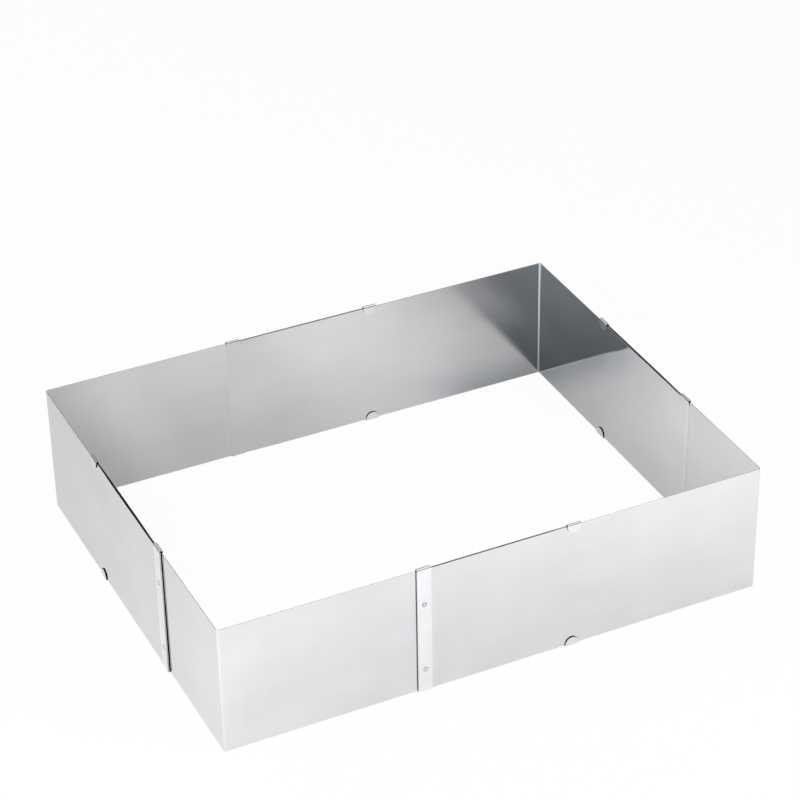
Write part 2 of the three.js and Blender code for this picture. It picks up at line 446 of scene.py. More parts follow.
@dataclass
class FoldedEnds:
    """Makes the two folded ribbons: the stop tab of an inner arm and the guide strip of an outer arm."""

    sizes: FrameSizes
    bend_steps: int = 8
    root_depth: float = 0.4
    root_rings: int = 5
    root_share: float = 0.96
    strip_rings: int = 90
    weld_rings: int = 49
    weld_zone: float = 3.6

    def _bend(self, gap: float, clearance: float) -> float:
        """Inside radius of a fold: the usual one, or what its gap and its clearance leave room for."""
        return min(self.sizes.fold_bend, clearance, gap / 2)

    def _quarter(self, centre: Pair, radius: float, first: int, last: int) -> tuple[Array, Array]:
        """A quarter circle between two directions, which are counted in quarter turns."""
        return arc(centre, radius, first * QUARTER_TURN, last * QUARTER_TURN, self.bend_steps)

    def tab(self, clearance: float, lean: float = 0.0) -> Shell:
        """A tab that leaves the top edge of an arm, turns over a gap and comes down with a half-round tip.

        Args:
            clearance: Room between the edge that is wrapped and the fold.
            lean: How far the arm's end leans towards the sheet that is wrapped.

        Returns:
            The tab, with the arm's edge at z = 0 and its outer face at y = 0, folded towards +Y.
        """
        s = self.sizes
        gap, wide, half = s.tab_gap, s.tab_width, s.sheet / 2
        bend = self._bend(gap - lean, clearance)
        level = clearance - bend
        start = lean - half
        shares = np.linspace(0, self.root_share, self.root_rings)
        ribbon = Ribbon(s.sheet)
        ribbon.run(straight((start, -self.root_depth), (start, level), shares, OUTWARDS), wide)
        ribbon.run(self._quarter((lean + bend, level), bend + half, 2, 1), wide)
        ribbon.run(self._quarter((gap - bend, level), bend + half, 1, 0), wide)
        root = (gap + half, level - s.fold_shoulder)
        ribbon.tip(root, -1, wide, s.tab_reach + root[1], first=False)
        return ribbon.shell(root=self.root_rings + self.bend_steps)

    def strip(self) -> Shell:
        """A full-height strip whose two ends turn over a gap and lie against its far side.

        Returns:
            The strip, with the sheets' bottom edge at z = 0 and its inner face at y = 0, folded towards +Y.
        """
        s = self.sizes
        gap, wide, half = s.strip_gap, s.strip_width, s.strip_sheet / 2
        over, under = self._bend(gap, s.top_clearance), self._bend(gap, s.bottom_clearance)
        high, low = s.wall_height + s.top_clearance - over, under - s.bottom_clearance
        welds = s.weld_heights.values()
        fine = [np.linspace(z - self.weld_zone, z + self.weld_zone, self.weld_rings) for z in welds]
        plain = np.linspace(low, high, self.strip_rings)
        heights = np.unique(np.concatenate([plain, *fine]).round(4))[::-1]
        shares = (high - heights)[1:-1] / (high - low)
        top, bottom = high - s.fold_shoulder, low + s.fold_shoulder
        ribbon = Ribbon(s.strip_sheet)
        ribbon.tip((gap + half, top), -1, wide, top - s.wall_height + s.strip_reach, first=True)
        ribbon.run(self._quarter((gap - over, high), over + half, 0, 1), wide)
        ribbon.run(self._quarter((over, high), over + half, 1, 2), wide)
        ribbon.run(straight((-half, high), (-half, low), shares, OUTWARDS), wide)
        ribbon.run(self._quarter((under, low), under + half, 2, 3), wide)
        ribbon.run(self._quarter((gap - under, low), under + half, 3, 4), wide)
        ribbon.tip((gap + half, bottom), 1, wide, s.strip_reach - bottom, first=False)
        return ribbon.shell(dents=tuple((z, s.weld_radius) for z in welds))


@dataclass
class BentSheet:
    """The sheet of a corner angle: arms along +X and +Y from the outside of the bend, at the origin.

    Lengths are in millimetres. The bow is given for each arm, and any other pair is the range over which
    something eases in or out. A wave is given by its share, its length, its slant and how it follows the
    phase.
    """

    WAVES: ClassVar[tuple[tuple[float, float, float, float], ...]] = (
        (0.5, 17.0, 2.1, 1.0),
        (0.3, 9.5, -3.4, 1.7),
        (0.2, 31.0, 5.0, 2.6),
    )

    sizes: FrameSizes
    arm_x: float
    arm_y: float
    phase: float
    lean: float = 0.0
    thinning: float = 0.0
    bow: Pair = (0.0, 0.0)
    wave: float = 0.015
    bar: Section = Section(rounding=0.19, across=28)
    end_rounding: float = 0.06
    end_steps: int = 3
    end_rings: tuple[float, ...] = (0.6, 1.2, 1.8, 2.4, 3.0)
    run_start: float = 4.0
    bend_margin: float = 0.5
    bend_offset: float = 0.5
    pitch: float = 4.0
    bend_steps: int = 16
    calm_end: Pair = (12.0, 40.0)
    calm_bend: Pair = (4.0, 34.0)
    lean_range: Pair = (3.0, 34.0)
    thin_range: Pair = (0.0, 3.4)
    upper_hold: int = 200
    lower_hold: int = 90
    bow_start: Pair = (6.0, 14.0)
    bow_stop: Pair = (70.0, 96.0)
    bow_rise: Pair = (0.35, 0.95)
    bend_mark: Pair = (0.4, 1.2)
    # Painted shade: the outside of the bend is darkened to tone down its highlight, on top of the cut edges'
    # darkening, which is partly dull finish and partly painted shade; the bend is also lightened, partly as
    # worked metal and partly as a painted highlight.
    dull_and_shade_share: float = 0.4
    bend_painted_shade: float = 0.4
    inside_work_highlight: float = 0.8
    outside_work_highlight: float = 0.25
    pattern_shift: float = 500.0
    far_face: float = 200.0

    def _path(self) -> tuple[Array, Array, Array]:
        """Middle line of the sheet from the end of one arm, round the bend, to the end of the other.

        Returns:
            Points in plan, outward directions, and how far each ring is drawn in to round the arm's end.
        """
        s = self.sizes
        outer = s.corner_bend + s.sheet
        half = s.sheet / 2
        turn = np.linspace(0.0, QUARTER_TURN, self.end_steps + 1)
        inset_end = self.end_rounding * (1.0 - np.cos(turn[::-1]))
        near = np.concatenate([self.end_rounding * (1.0 - np.sin(turn)), self.end_rings])
        first = outer + self.bend_margin
        count_x, count_y = (int((arm - outer) / self.pitch) for arm in (self.arm_x, self.arm_y))
        plain_x = np.linspace(self.arm_x - self.run_start, first, count_x)
        plain_y = np.linspace(first, self.arm_y - self.run_start, count_y)
        run_x = np.concatenate([self.arm_x - near, plain_x])
        run_y = np.concatenate([plain_y, self.arm_y - near[::-1]])
        bend, bend_away = arc(
            (outer, outer), outer - half, 3 * QUARTER_TURN, 2 * QUARTER_TURN, self.bend_steps
        )
        points = np.concatenate([
            np.stack([run_x, np.full(len(run_x), half)], axis=-1),
            bend,
            np.stack([np.full(len(run_y), half), run_y], axis=-1),
        ])
        away_x, away_y = np.tile([0.0, -1.0], (len(run_x), 1)), np.tile([-1.0, 0.0], (len(run_y), 1))
        inset = np.zeros(len(points))
        inset[: len(turn)] = inset_end
        inset[-len(turn):] = inset_end[::-1]
        return points, np.concatenate([away_x, bend_away, away_y]), inset

    def shell(self) -> Shell:
        """Carries a thin rounded bar, standing on edge, along the middle line.

        A slow wave of a few hundredths of a millimetre, a sum of sines over length and height, stands for the
        unevenness of rolled sheet. It fades out at the bend and at the arms' ends, where other pieces sit.
        Below its upper tab an arm's end leans outwards, by the lean times a smooth rise to the end times
        1 - (z/h)^200. Between its tabs its inner face slopes to a thinner edge. Beside its end an arm bows,
        by the bow times a smooth rise and fall along the arm and a smooth rise with height, because a guide
        and a tab leave the top edge free.

        Returns:
            The shell, with the sheet's bottom edge at z = 0.
        """
        s = self.sizes
        path, away, inset = self._path()
        height, deep, bare_and_shade = self.bar.rings(s.wall_height - 2 * inset, s.sheet - 2 * inset)
        height = height + s.wall_height / 2
        step = np.linalg.norm(np.diff(path, axis=0, prepend=path[:1]), axis=1)
        length = np.cumsum(step)[:, None]
        near_end = np.minimum(length, length[-1] - length)
        near_bend = np.abs(length - self.arm_x + self.bend_offset)
        rise = height / s.wall_height
        calm = smoothstep(*self.calm_end, near_end) * smoothstep(*self.calm_bend, near_bend)
        wave = sum(
            share * np.sin(length / span + slant * rise + shift * self.phase)
            for share, span, slant, shift in self.WAVES
        )
        below_tab = 1.0 - np.maximum(rise, 0.0) ** self.upper_hold
        above_tab = 1.0 - np.maximum(1.0 - rise, 0.0) ** self.lower_hold
        belly = (1.0 - smoothstep(*self.lean_range, near_end)) * below_tab
        thinned = (1.0 - smoothstep(*self.thin_range, near_end)) * below_tab * above_tab
        deep = s.sheet / 2 - (s.sheet / 2 - deep) * (1.0 - self.thinning * thinned)
        bow = np.where(length < self.arm_x, *self.bow)
        beside = smoothstep(*self.bow_start, near_end) * (1.0 - smoothstep(*self.bow_stop, near_end))
        free = beside * smoothstep(*self.bow_rise, rise)
        deep = deep + self.wave * calm * wave + self.lean * belly + bow * free
        x = path[:, 0, None] + away[:, 0, None] * deep
        y = path[:, 1, None] + away[:, 1, None] * deep
        inside = np.arange(height.shape[1]) >= height.shape[1] // 2
        along = np.broadcast_to(length + self.pattern_shift * self.phase, height.shape)
        uv = np.stack([along, height + self.far_face * inside], axis=-1) * MM
        # The bend is lightened, partly as worked metal and partly as a painted highlight; its outside is also
        # darkened as a painted shade, and the cut edges are darkened partly as dull finish and partly as
        # painted shade.
        bent = 1.0 - smoothstep(*self.bend_mark, near_bend)
        dull_and_shade = self.dull_and_shade_share * np.maximum(bare_and_shade, np.where(inside, 0.0, self.bend_painted_shade * bent))
        worked_highlight = np.where(inside, self.inside_work_highlight, self.outside_work_highlight) * bent
        return Shell.lofted(np.stack([x, y, height], axis=-1), uv, dull_and_shade, worked_highlight)


class Value:
    """A shader socket in arithmetic: each operation adds a Math node."""

    def __init__(self, nodes: "Nodes", socket: bpy.types.NodeSocket | None) -> None:
        """Keeps the socket and the tree that it belongs to."""
        self.nodes = nodes
        self.socket = socket

    def _math(self, operation: str, left: Any, right: Any) -> "Value":
        """Adds a Math node."""
        return self.nodes.add("ShaderNodeMath", {"operation": operation}, {0: left, 1: right})

    def __add__(self, other: Any) -> "Value":
        """Sum."""
        return self._math("ADD", self, other)

    def __radd__(self, other: Any) -> "Value":
        """Sum with a number on the left."""
        return self._math("ADD", other, self)

    def __sub__(self, other: Any) -> "Value":
        """Difference."""
        return self._math("SUBTRACT", self, other)

    def __rsub__(self, other: Any) -> "Value":
        """Difference with a number on the left."""
        return self._math("SUBTRACT", other, self)

    def __mul__(self, other: Any) -> "Value":
        """Product."""
        return self._math("MULTIPLY", self, other)

    def __rmul__(self, other: Any) -> "Value":
        """Product with a number on the left."""
        return self._math("MULTIPLY", other, self)

    def __gt__(self, other: Any) -> "Value":
        """1 where the value is greater, else 0."""
        return self._math("GREATER_THAN", self, other)

    def between(self, low: float, high: float) -> "Value":
        """Eases from 0 at low to 1 at high.

        Args:
            low: Value at which the result is 0.
            high: Value at which the result is 1.

        Returns:
            The eased value.
        """
        settings = {"interpolation_type": "SMOOTHSTEP"}
        inputs = {"Value": self, "From Min": low, "From Max": high}
        return self.nodes.add("ShaderNodeMapRange", settings, inputs)


@dataclass(frozen=True)
class Mark:
    """What a mark does to steel: the share and level of the grey that it mixes in, and added roughness."""

    share: float
    level: float
    roughness: float = 0.0


def grey(level: float, warmth: float = 0.0) -> Colour:
    """A near-neutral colour; warmth above 0 leans to yellow and below 0 to blue."""
    return (level * (1.0 + warmth), level, level * (1.0 - warmth), 1.0)


def steel_grey(level: float) -> Colour:
    """The faintly violet grey of clean stainless steel."""
    return (STEEL_RED * level, level, STEEL_BLUE * level, 1.0)


class Nodes:
    """A node tree that is filled through one method."""

    NOISE_ROUGHNESS: ClassVar[float] = 0.55
    NOISE_MEAN: ClassVar[float] = 0.5
    NOISE_RANGE: ClassVar[Pair] = (0.3, 0.7)
    BUMP_DISTANCE: ClassVar[float] = 0.0001

    def __init__(self, tree: bpy.types.NodeTree) -> None:
        """Empties the tree."""
        self.tree = tree
        tree.nodes.clear()

    def add(
        self,
        kind: str,
        settings: dict[str, Any],
        inputs: dict[int | str, Any],
        output: int | str = 0,
    ) -> Value:
        """Adds a node, sets it up and feeds its sockets.

        Args:
            kind: Blender's name of the node type.
            settings: Properties of the node, which are set first.
            inputs: Sockets by name or number, each with a number, a colour or a Value to link.
            output: Socket to return.

        Returns:
            The chosen output.
        """
        node = self.tree.nodes.new(kind)
        for name, setting in settings.items():
            setattr(node, name, setting)
        for key, value in inputs.items():
            if isinstance(value, Value):
                self.tree.links.new(value.socket, node.inputs[key])
            else:
                node.inputs[key].default_value = value
        return Value(self, node.outputs[output] if len(node.outputs) else None)

    def sheet(self, along: float, across: float) -> Value:
        """Pattern coordinates that follow the sheet, stretched by two scales per metre."""
        place = self.add("ShaderNodeUVMap", {"uv_map": PATTERN}, {})
        return self.add("ShaderNodeMapping", {}, {"Vector": place, "Scale": (along, across, 1.0)})

    def noise(self, place: Value, scale: float, detail: float = 2.0) -> Value:
        """Soft noise between 0 and 1."""
        inputs = {"Vector": place, "Scale": scale, "Detail": detail, "Roughness": self.NOISE_ROUGHNESS}
        return self.add("ShaderNodeTexNoise", {}, inputs)

    def mark(self, name: str) -> Value:
        """One of the marks of the piece's points, between 0 and 1."""
        return self.add("ShaderNodeAttribute", {"attribute_name": name}, {}, output="Fac")

    def part(self, vector: Value, axis: str) -> Value:
        """One part of a vector."""
        return self.add("ShaderNodeSeparateXYZ", {}, {"Vector": vector}, output=axis)

    def ray(self, output: str) -> Value:
        """What the light path says of a ray."""
        return self.add("ShaderNodeLightPath", {}, {}, output=output)

    def blend(self, share: Value, first: Any, second: Any) -> Value:
        """Mixes two colours by a share."""
        inputs = {"Factor": share, 6: first, 7: second}
        return self.add("ShaderNodeMix", {"data_type": "RGBA"}, inputs, output=2)

    def marked(self, tone: Value, where: Value, mark: Mark) -> Value:
        """Mixes a mark's grey into a tone."""
        return self.blend(mark.share * where, tone, steel_grey(mark.level))

    def metal(
        self, tone: Value, rough: Value, height: Value, strength: float, anisotropy: float = 0.0
    ) -> None:
        """Ends the tree in a metal surface.

        Args:
            tone: Colour of the metal.
            rough: Roughness of the metal.
            height: Height of its fine relief.
            strength: Strength of the relief.
            anisotropy: How far highlights are drawn out across the grain.
        """
        bump = {"Strength": strength, "Distance": self.BUMP_DISTANCE, "Height": height}
        relief = self.add("ShaderNodeBump", {}, bump)
        inputs = {
            "Base Color": tone,
            "Metallic": 1.0,
            "Roughness": rough,
            "Normal": relief,
            "Anisotropic": anisotropy,
        }
        surface = self.add("ShaderNodeBsdfPrincipled", {}, inputs)
        self.add("ShaderNodeOutputMaterial", {}, {"Surface": surface})


def new_material(name: str) -> tuple[bpy.types.Material, Nodes]:
    """Makes a material with an empty node tree.

    Args:
        name: Name of the material.

    Returns:
        The material and its tree.
    """
    material = bpy.data.materials.new(name)
    material.use_nodes = True
    return material, Nodes(material.node_tree)


@dataclass(frozen=True)
class SheetSteel:
    """Cold-rolled stainless sheet: upright grain, soft bands and clouds and a few specks; cut edges darker
    partly as their dull finish and partly as painted shade, bends and folds lighter partly as worked metal
    and partly as a painted highlight, and the outside of the bends darker as a painted shade.

    Scales are per metre of sheet, first along the arm and then up.
    """

    name: str = "satin_sheet_steel"
    level: float = 0.8
    tones: Pair = (1.03, 0.96)
    cloud_share: float = 0.75
    band_share: float = 0.25
    roughness: float = 0.14
    rough_cloud: float = 0.03
    rough_grain: float = 0.03
    gloss_at_slant: float = 0.75
    slant_blend: float = 0.5
    slant_range: Pair = (0.2, 0.7)
    anisotropy: float = 0.5
    grain_scale: Pair = (2600.0, 45.0)
    band_scale: Pair = (34.0, 2.0)
    cloud_stretch: Pair = (1.0, 1.6)
    cloud_scale: float = 17.0
    speck_scale: float = 520.0
    speck_range: Pair = (0.7, 0.78)
    speckled_scale: float = 60.0
    speckled_range: Pair = (0.5, 0.62)
    speck_depth: float = 2.0
    relief: float = 0.05
    speck: Mark = Mark(share=0.3, level=0.35, roughness=0.12)
    worked_highlight: Mark = Mark(share=0.85, level=0.95, roughness=0.14)
    bare_and_shade: Mark = Mark(share=0.85, level=0.42, roughness=0.2)

    def material(self) -> bpy.types.Material:
        """Builds the material.

        Returns:
            The material, which reads the pattern coordinates and the marks of the piece.
        """
        steel, nodes = new_material(self.name)
        grain = nodes.noise(nodes.sheet(*self.grain_scale), scale=1.0, detail=3.0)
        band = nodes.noise(nodes.sheet(*self.band_scale), scale=1.0, detail=3.0)
        cloud = nodes.noise(nodes.sheet(*self.cloud_stretch), self.cloud_scale, detail=3.0)
        patch = nodes.noise(nodes.sheet(1.0, 1.0), self.speck_scale, detail=1.0)
        where = nodes.noise(nodes.sheet(1.0, 1.0), self.speckled_scale)
        speck = patch.between(*self.speck_range) * where.between(*self.speckled_range)
        bare_and_shade, worked_highlight = nodes.mark(BARE_EDGE_AND_SHADE), nodes.mark(WORKED_HIGHLIGHT)
        clouds, bands = cloud.between(*nodes.NOISE_RANGE), band.between(*nodes.NOISE_RANGE)
        uneven = self.cloud_share * clouds + self.band_share * bands
        bright, dark = (steel_grey(share * self.level) for share in self.tones)
        tone = nodes.blend(uneven, bright, dark)
        slant = nodes.add("ShaderNodeLayerWeight", {}, {"Blend": self.slant_blend}, output="Facing")
        rough = (1.0 - self.gloss_at_slant * slant.between(*self.slant_range)) * self.roughness
        rough = rough + self.rough_cloud * (cloud - nodes.NOISE_MEAN)
        rough = rough + self.rough_grain * (grain - nodes.NOISE_MEAN)
        # Marks: specks; bends and folds lightened partly as worked metal and partly as a painted highlight;
        # cut edges darkened partly as dull finish and partly as painted shade, and the outside of the bends
        # darkened as a painted shade.
        for place, mark in ((speck, self.speck), (worked_highlight, self.worked_highlight), (bare_and_shade, self.bare_and_shade)):
            tone = nodes.marked(tone, place, mark)
            rough = rough + mark.roughness * place
        nodes.metal(tone, rough, grain - self.speck_depth * speck, self.relief, self.anisotropy)
        return steel


@dataclass(frozen=True)
class StripSteel:
    """Ground stainless strip: fine lines along the strip, a little brighter and rougher than the sheet."""

    name: str = "ground_strip_steel"
    level: float = 0.97
    dark_share: float = 0.95
    roughness: float = 0.25
    rough_lines: float = 0.1
    rough_cloud: float = 0.06
    line_scale: Pair = (3800.0, 55.0)
    cloud_scale: float = 45.0
    relief: float = 0.1
    bare_and_shade: Mark = Mark(share=0.3, level=0.5, roughness=0.12)

    def material(self) -> bpy.types.Material:
        """Builds the material.

        Returns:
            The material, which reads the pattern coordinates and edge marks of the piece.
        """
        steel, nodes = new_material(self.name)
        lines = nodes.noise(nodes.sheet(*self.line_scale), scale=1.0, detail=3.0)
        cloud = nodes.noise(nodes.sheet(1.0, 1.0), self.cloud_scale)
        bare_and_shade = nodes.mark(BARE_EDGE_AND_SHADE)
        bright, dark = steel_grey(self.level), steel_grey(self.dark_share * self.level)
        tone = nodes.blend(cloud.between(*nodes.NOISE_RANGE), bright, dark)
        # The cut edges are darkened partly as their dull finish and partly as painted shade for the gaps
        # beside them.
        tone = nodes.marked(tone, bare_and_shade, self.bare_and_shade)
        rough = self.roughness + self.rough_lines * (lines - nodes.NOISE_MEAN)
        rough = rough + self.rough_cloud * (cloud - nodes.NOISE_MEAN) + self.bare_and_shade.roughness * bare_and_shade
        nodes.metal(tone, rough, lines, self.relief)
        return steel


@dataclass(frozen=True)
class WeldSteel:
    """Spot weld: pressed, faintly pitted steel inside a dull grey ring, which is uneven round the weld.

    The ring lies between shares of the weld's radius.
    """

    name: str = "spot_weld_steel"
    level: float = 0.9
    dark_share: float = 0.9
    roughness: float = 0.36
    rough_pits: float = 0.2
    pit_scale: float = 2600.0
    pit_range: Pair = (0.35, 0.65)
    side_scale: float = 620.0
    side_range: Pair = (0.36, 0.58)
    ring_start: Pair = (0.34, 0.6)
    ring_stop: Pair = (0.64, 0.86)
    ring_least: float = 0.35
    relief: float = 0.35
    ring: Mark = Mark(share=0.85, level=0.24)

    def material(self) -> bpy.types.Material:
        """Builds the material.

        Returns:
            The material; its pattern runs from the middle of the weld, 0, to its rim, 1.
        """
        steel, nodes = new_material(self.name)
        out = nodes.part(nodes.add("ShaderNodeUVMap", {"uv_map": PATTERN}, {}), "X")
        where = nodes.add("ShaderNodeTexCoord", {}, {}, output="Object")
        pits = nodes.noise(where, self.pit_scale, detail=3.0)
        side = nodes.noise(where, self.side_scale, detail=1.0)
        ring = out.between(*self.ring_start) * (1.0 - out.between(*self.ring_stop))
        ring = ring * (self.ring_least + (1.0 - self.ring_least) * side.between(*self.side_range))
        bright, dark = steel_grey(self.level), steel_grey(self.dark_share * self.level)
        tone = nodes.blend(pits.between(*self.pit_range), bright, dark)
        tone = nodes.marked(tone, ring, self.ring)
        rough = self.roughness + self.rough_pits * (pits - nodes.NOISE_MEAN)
        nodes.metal(tone, rough, pits, self.relief)
        return steel


@dataclass(frozen=True)
class Finishes:
    """The three steels of the frame."""

    sheet: bpy.types.Material
    strip: bpy.types.Material
    weld: bpy.types.Material


def dress(piece: bpy.types.Object, steel: bpy.types.Material, body: str, node: str) -> None:
    """Gives a piece its steel, rides it on its CAD body and hides the CAD node that it stands for.

    Args:
        piece: Blender object of the piece.
        steel: Its material.
        body: CAD body that the piece rides on.
        node: CAD node that the piece replaces.
    """
    piece.data.materials.append(steel)
    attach(piece, body)
    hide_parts(node)
    LOG.info("%s on %s: %d faces", piece.name, body, len(piece.data.polygons))


@dataclass
class SpotWeld:
    """A round weld mark, sunk into its strip: a dished lens with an uneven rim.

    The profile holds shares of the radius with depths in millimetres. A sway is given by the share of the
    radius, how often it comes in a turn, and how it follows the phase.
    """

    PROFILE: ClassVar[tuple[Pair, ...]] = (
        (0.001, 0.15), (0.2, 0.145), (0.4, 0.13), (0.6, 0.1), (0.74, 0.07), (0.84, 0.045),
        (0.92, 0.03), (0.98, 0.045), (1.0, 0.09), (0.97, 0.22), (0.6, 0.3), (0.001, 0.3),
    )
    SWAYS: ClassVar[tuple[tuple[float, int, float], ...]] = ((0.05, 2, 1.0), (0.03, 3, 2.3))

    sizes: FrameSizes
    wall: Wall
    level: str
    phase: float
    around: int = 48
    crease: float = 50.0

    def shell(self) -> Shell:
        """Turns a lens profile round the weld's axis, with the rim's radius swaying by a few hundredths.

        The profile falls from the middle of the face to a ridge and down to the back. Its two ends lie a hair
        off the axis and are closed by flat caps.

        Returns:
            The shell, with the strip's outer face at y = 0 and the weld's face towards -Y.
        """
        out, deep = np.array(self.PROFILE).T
        angle = np.linspace(0.0, 4 * QUARTER_TURN, self.around + 1)[:-1]
        sways = (size * np.sin(often * angle + shift * self.phase) for size, often, shift in self.SWAYS)
        radius = self.sizes.weld_radius * out[:, None] * sum(sways, 1.0)[None, :]
        x, z = radius * np.cos(angle), radius * np.sin(angle)
        y = np.broadcast_to(deep[:, None], x.shape)
        plain = np.zeros_like(x)
        uv = np.stack([np.broadcast_to(out[:, None], x.shape), plain], axis=-1)
        return Shell.lofted(np.stack([x, y, z], axis=-1), uv, plain, plain)

    def build(self, steel: bpy.types.Material, places: list[Place], body: str) -> None:
        """Makes the weld's piece and dresses it.

        Args:
            steel: Weld material.
            places: Places to apply in turn, from the strip's own frame to the whole frame's.
            body: CAD body that the weld rides on.
        """
        shell = self.shell()
        for place in places:
            shell = shell.placed(place)
        piece = shell.piece(f"weld_mark_{self.wall.value}_{self.level}", self.crease)
        dress(piece, steel, body, f"spot_weld_{self.wall.value}_{self.level}")


@dataclass
class CornerAngle:
    """One corner of the frame: a bent sheet with its tabs, or with the strips and welds that it carries."""

    sizes: FrameSizes
    layer: Layer
    corner: str
    walls: tuple[Wall, Wall]
    place: Place
    phase: float
    weld_phase: float = 1.9
    play: SheetPlay = SheetPlay()

    @property
    def arms(self) -> Pair:
        """Lengths of the arms on the two walls."""
        s = self.sizes
        return tuple(s.long_arm if wall.is_long else s.short_arm for wall in self.walls)

    def _ends(self, width: float, outset: float) -> list[Place]:
        """Places at the two arms' ends, each with its +Y into the frame."""
        arm_x, arm_y = self.arms
        return [
            Place(x=arm_x - width / 2, y=-outset),
            Place(x=-outset, y=arm_y - width / 2, turn=-QUARTER_TURN),
        ]

    def _tabs(self) -> list[Shell]:
        """The four stop tabs of an inner angle, folded outwards; the lower ones follow the arm's lean.

        Returns:
            The tabs at the ends of both arms.
        """
        s = self.sizes
        ends = FoldedEnds(s)
        top = ends.tab(s.top_clearance)
        bottom = ends.tab(s.bottom_clearance, self.play.lower_tab_share * self.play.lean).upside_down()
        tabs = []
        for end in self._ends(s.tab_width, 0.0):
            for tab, height in ((top, s.wall_height), (bottom, 0.0)):
                tabs.append(tab.placed(Place(end.x, end.y, height, end.turn + 2 * QUARTER_TURN)))
        return tabs

    def _sheet(self) -> Shell:
        """The bent sheet: an inner one leans outwards at its ends and bows inwards, an outer one outwards.

        Returns:
            The sheet, with the outside of its bend at the origin.
        """
        play, inner = self.play, self.layer is Layer.INNER
        outwards = -1.0 if inner else 1.0
        bow = tuple(outwards * (play.long_bow if wall.is_long else play.short_bow) for wall in self.walls)
        lean, thinning = (play.lean, play.thinning) if inner else (0.0, 0.0)
        return BentSheet(self.sizes, *self.arms, self.phase, lean, thinning, bow).shell()

    def build(self, finishes: Finishes) -> None:
        """Makes the corner's pieces and dresses them.

        Args:
            finishes: Steels of the frame.
        """
        body = f"{self.corner}_corner"
        inner = self.layer is Layer.INNER
        shells = [self._sheet()] + (self._tabs() if inner else [])
        piece = Shell.joined(shells).placed(self.place).piece(f"{self.layer.value}_sheet_{self.corner}")
        dress(piece, finishes.sheet, body, f"{self.layer.value}_angle_{self.corner}")
        if not inner:
            self._build_strips(finishes, body)

    def _build_strips(self, finishes: Finishes, body: str) -> None:
        """Makes the two guide strips of an outer angle, with their welds.

        Args:
            finishes: Steels of the frame.
            body: CAD body of the corner.
        """
        s = self.sizes
        shell = FoldedEnds(s).strip()
        for wall, end in zip(self.walls, self._ends(s.strip_width, s.strip_seam)):
            strip = shell.placed(end).placed(self.place).piece(f"strip_{wall.value}")
            dress(strip, finishes.strip, body, f"guide_strip_{wall.value}")
            for number, (level, height) in enumerate(s.weld_heights.items()):
                on_strip = Place(y=-s.strip_sheet, z=height)
                weld = SpotWeld(s, wall, level, phase=self.phase + self.weld_phase * number)
                weld.build(finishes.weld, [on_strip, end, self.place], body)


@dataclass(frozen=True)
class CornerPlan:
    """Where a corner is: its side in X and Y, its quarter turns, and the phase of its sheet's pattern."""

    layer: Layer
    name: str
    walls: tuple[Wall, Wall]
    side: tuple[int, int]
    turns: int
    phase: float


@dataclass
class BakingFrame:
    """The whole frame: two inner angles across from each other, and two outer ones."""

    PLANS: ClassVar[tuple[CornerPlan, ...]] = (
        CornerPlan(Layer.INNER, "front_left", (Wall.FRONT, Wall.LEFT), (-1, -1), turns=0, phase=0.4),
        CornerPlan(Layer.OUTER, "front_right", (Wall.RIGHT, Wall.FRONT), (1, -1), turns=1, phase=1.3),
        CornerPlan(Layer.INNER, "rear_right", (Wall.REAR, Wall.RIGHT), (1, 1), turns=2, phase=2.2),
        CornerPlan(Layer.OUTER, "rear_left", (Wall.LEFT, Wall.REAR), (-1, 1), turns=-1, phase=3.6),
    )

    sizes: FrameSizes = field(default_factory=FrameSizes)

    def corners(self) -> list[CornerAngle]:
        """The four corners, with the outer layer's outside a sheet and a gap further out.

        Returns:
            The corners in the order that they are built.
        """
        s = self.sizes
        inner = s.inside_length / 2 + s.sheet, s.inside_width / 2 + s.sheet
        outer = tuple(half + s.sheet + s.layer_gap for half in inner)
        corners = []
        for plan in self.PLANS:
            x, y = np.multiply(plan.side, inner if plan.layer is Layer.INNER else outer).tolist()
            place = Place(x, y, s.lift, plan.turns * QUARTER_TURN)
            corners.append(CornerAngle(s, plan.layer, plan.name, plan.walls, place, plan.phase))
        return corners

    def build(self) -> None:
        """Makes every piece of the frame."""
        finishes = Finishes(SheetSteel().material(), StripSteel().material(), WeldSteel().material())
        for corner in self.corners():
            corner.build(finishes)


@dataclass(frozen=True)
class Softbox:
    """A square soft light that is turned to the middle of the frame."""

    name: str
    place: tuple[float, float, float]
    power: float
    side: float

    def build(self) -> None:
        """Makes the light; the steel shows the floor and the surround instead of it."""
        lamp = bpy.data.lights.new(self.name, "AREA")
        lamp.shape = "SQUARE"
        lamp.size = self.side
        lamp.energy = self.power
        softbox = bpy.data.objects.new(self.name, lamp)
        softbox.location = self.place
        softbox.rotation_euler = Vector(self.place).to_track_quat("Z", "Y").to_euler()
        softbox.visible_glossy = False
        softbox.visible_camera = False
        bpy.context.scene.collection.objects.link(softbox)


